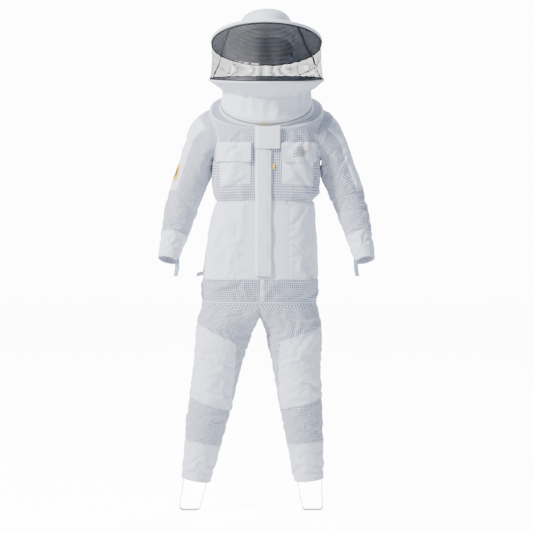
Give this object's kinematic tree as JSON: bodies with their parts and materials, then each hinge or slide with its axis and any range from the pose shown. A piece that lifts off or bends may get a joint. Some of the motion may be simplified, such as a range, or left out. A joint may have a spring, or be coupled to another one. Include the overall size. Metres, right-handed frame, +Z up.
{
  "type": "beekeeping suit",
  "caption": "One-piece white ventilated beekeeping suit with a hat and round veil on a neck zip, front zip, patch pockets and elastic wrists and ankles.",
  "frame": {"origin": "centre of the neck zip ring, where the wearer's neck and shoulders carry the suit", "axes": "+Z up along the wearer's back, the suit faces -Y, and -X is the wearer's right"},
  "size_m": [0.7482, 0.4024, 1.7506],
  "materials": {
    "cotton": "matt woven cotton, white",
    "net": "three-layer spacer net, white over grey",
    "veil": "fine black net",
    "webbing": "black tape",
    "elastic": "ribbed elastic",
    "tape": "woven zip tape with moulded teeth",
    "brass": "worn brass",
    "yellow": "woven label, yellow",
    "snap": "white tab with a press stud"
  },
  "bodies": {
    "torso": {"front_yoke_right": "net", "front_yoke_left": "net", "back_yoke": "net", "front_lower_right": "cotton", "front_lower_left": "cotton", "back_lower": "cotton", "seat_right": "net", "seat_left": "net", "crotch_gusset": "net", "front_zip_tape_right": "tape", "front_zip_tape_left": "tape", "neck_zip_lower": "tape", "chest_pocket_right": "cotton", "chest_pocket_left": "cotton", "hip_pocket_left": "cotton", "side_tag": "yellow", "waist_elastic": "cotton", "fly_tongue": "cotton", "hip_tab": "snap"},
    "hood": {"hood_skirt": "cotton", "hood_hoop": "cotton", "veil_net": "veil", "veil_strip_front_right": "webbing", "veil_strip_front_left": "webbing", "veil_strip_rear_right": "webbing", "veil_strip_rear_left": "webbing", "brim_hoop": "cotton", "hat_brim": "cotton", "hat_crown": "cotton", "headband": "cotton", "neck_zip_upper": "tape"},
    "chin_strap": {"chin_elastic": "elastic"},
    "chin_adjuster": {"chin_toggle": "webbing"},
    "neck_slider": {"neck_zip_slider": "brass"},
    "neck_pull": {"neck_zip_pull": "brass"},
    "front_slider": {"front_zip_slider": "brass"},
    "front_pull": {"front_zip_pull": "brass"},
    "placket": {"storm_placket": "cotton"},
    "neck_cover": {"neck_flap": "cotton"},
    "pocket_flap_right": {"chest_flap_right": "cotton"},
    "pocket_flap_left": {"chest_flap_left": "cotton"},
    "upper_arm_right": {"upper_sleeve_right": "net", "sleeve_panel_right": "cotton", "sleeve_badge": "yellow"},
    "upper_arm_left": {"upper_sleeve_left": "net", "sleeve_panel_left": "cotton"},
    "forearm_right": {"forearm_sleeve_right": "net", "cuff_right": "elastic", "thumb_loop_right": "elastic"},
    "forearm_left": {"forearm_sleeve_left": "net", "cuff_left": "elastic", "thumb_loop_left": "elastic"},
    "thigh_body_right": {"thigh_right": "net", "knee_pocket_right": "cotton"},
    "thigh_body_left": {"thigh_left": "net", "knee_pocket_left": "cotton"},
    "calf_right": {"lower_leg_right": "net", "foot_strap_right": "elastic"},
    "calf_left": {"lower_leg_left": "net", "foot_strap_left": "elastic"}
  },
  "joints": [
    {"name": "hood_fold", "type": "hinge", "parent": "torso", "child": "hood", "pos_m": [0, 0.14083, 0.07488], "axis": [-1, 0, 0], "range_deg": [0, 80]},
    {"name": "chin_strap_swing", "type": "hinge", "parent": "hood", "child": "chin_strap", "pos_m": [0, -0.0278, 0.20403], "axis": [-1, 0, 0], "range_deg": [-12, 25]},
    {"name": "chin_adjuster_slide", "type": "slide", "parent": "chin_strap", "child": "chin_adjuster", "axis": [0, 0.0698, 0.9976], "range_m": [-0.003, 0.005]},
    {"name": "neck_zip_travel", "type": "hinge", "parent": "torso", "child": "neck_slider", "pos_m": [0, 0, 0], "axis": [0, -0.4695, 0.8829], "range_deg": [0, 350]},
    {"name": "neck_pull_lift", "type": "hinge", "parent": "neck_slider", "child": "neck_pull", "pos_m": [0, -0.14366, -0.07638], "axis": [0, -0.4695, 0.8829], "range_deg": [0, 150]},
    {"name": "front_zip_travel", "type": "slide", "parent": "torso", "child": "front_slider", "axis": [0, 0, -1], "range_m": [0, 0.478]},
    {"name": "front_pull_lift", "type": "hinge", "parent": "front_slider", "child": "front_pull", "pos_m": [0, -0.14005, -0.104], "axis": [-1, 0, 0], "range_deg": [0, 10]},
    {"name": "placket_open", "type": "hinge", "parent": "torso", "child": "placket", "pos_m": [-0.038, -0.1363, -0.388], "axis": [0, 0, -1], "range_deg": [0, 90]},
    {"name": "neck_cover_open", "type": "hinge", "parent": "torso", "child": "neck_cover", "pos_m": [-0.038, -0.1363, -0.118], "axis": [0, 0, -1], "range_deg": [0, 90]},
    {"name": "pocket_flap_right_lift", "type": "hinge", "parent": "torso", "child": "pocket_flap_right", "pos_m": [-0.11282, -0.12366, -0.134], "axis": [-0.9225, 0.386, 0], "range_deg": [0, 90]},
    {"name": "pocket_flap_left_lift", "type": "hinge", "parent": "torso", "child": "pocket_flap_left", "pos_m": [0.11282, -0.12366, -0.134], "axis": [-0.9225, -0.386, 0], "range_deg": [0, 90]},
    {"name": "shoulder_right", "type": "hinge", "parent": "torso", "child": "upper_arm_right", "pos_m": [-0.195, -0.005, -0.084], "axis": [0, 0.9993, -0.0367], "range_deg": [0, 70]},
    {"name": "elbow_right", "type": "hinge", "parent": "upper_arm_right", "child": "forearm_right", "pos_m": [-0.297, -0.015, -0.356], "axis": [-0.9363, 0, 0.3511], "range_deg": [0, 75]},
    {"name": "shoulder_left", "type": "hinge", "parent": "torso", "child": "upper_arm_left", "pos_m": [0.195, -0.005, -0.084], "axis": [0, -0.9993, 0.0367], "range_deg": [0, 70]},
    {"name": "elbow_left", "type": "hinge", "parent": "upper_arm_left", "child": "forearm_left", "pos_m": [0.297, -0.015, -0.356], "axis": [-0.9363, 0, -0.3511], "range_deg": [0, 75]},
    {"name": "hip_right", "type": "hinge", "parent": "torso", "child": "thigh_body_right", "pos_m": [-0.133, -0.015, -0.713], "axis": [-0.9808, 0, 0.1952], "range_deg": [-12, 60]},
    {"name": "knee_right", "type": "hinge", "parent": "thigh_body_right", "child": "calf_right", "pos_m": [-0.175, -0.015, -0.924], "axis": [0.9808, 0, -0.1952], "range_deg": [0, 75]},
    {"name": "hip_left", "type": "hinge", "parent": "torso", "child": "thigh_body_left", "pos_m": [0.086, -0.015, -0.713], "axis": [-0.9951, 0, -0.099], "range_deg": [-12, 60]},
    {"name": "knee_left", "type": "hinge", "parent": "thigh_body_left", "child": "calf_left", "pos_m": [0.107, -0.015, -0.924], "axis": [0.9951, 0, 0.099], "range_deg": [0, 75]}
  ]
}
